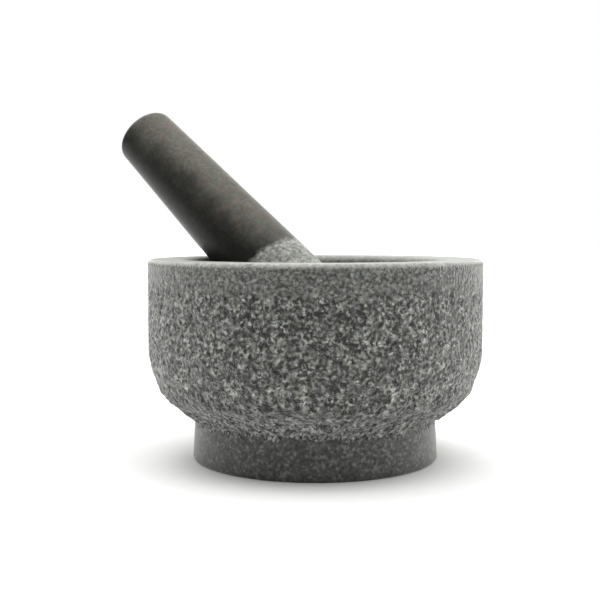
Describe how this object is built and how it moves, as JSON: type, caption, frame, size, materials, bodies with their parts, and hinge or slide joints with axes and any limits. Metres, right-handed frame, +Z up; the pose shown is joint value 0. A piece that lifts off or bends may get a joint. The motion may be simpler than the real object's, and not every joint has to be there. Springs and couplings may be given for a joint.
{
  "type": "molcajete",
  "caption": "Granite mortar with a round bowl on a ring-shaped foot, and a tapered stone pestle that leans in it against the rim.",
  "frame": {"origin": "centre of the foot's underside, on the mortar's axis", "axes": "+Z up along the mortar's axis; the pestle leans towards -X and +Y"},
  "size_m": [0.1838, 0.16, 0.172],
  "materials": {
    "dressed_granite": "tooled outside, ground smooth on the rim, the foot and the inside of the bowl",
    "polished_granite": "polished handle with an unpolished ground grinding end"
  },
  "bodies": {
    "mortar": {"mortar": "dressed_granite"},
    "pestle": {"pestle": "polished_granite"}
  },
  "joints": [
    {"name": "pestle_lift", "type": "slide", "parent": "mortar", "child": "pestle", "axis": [0, 0, 1], "range_m": [0, 0.12]}
  ]
}
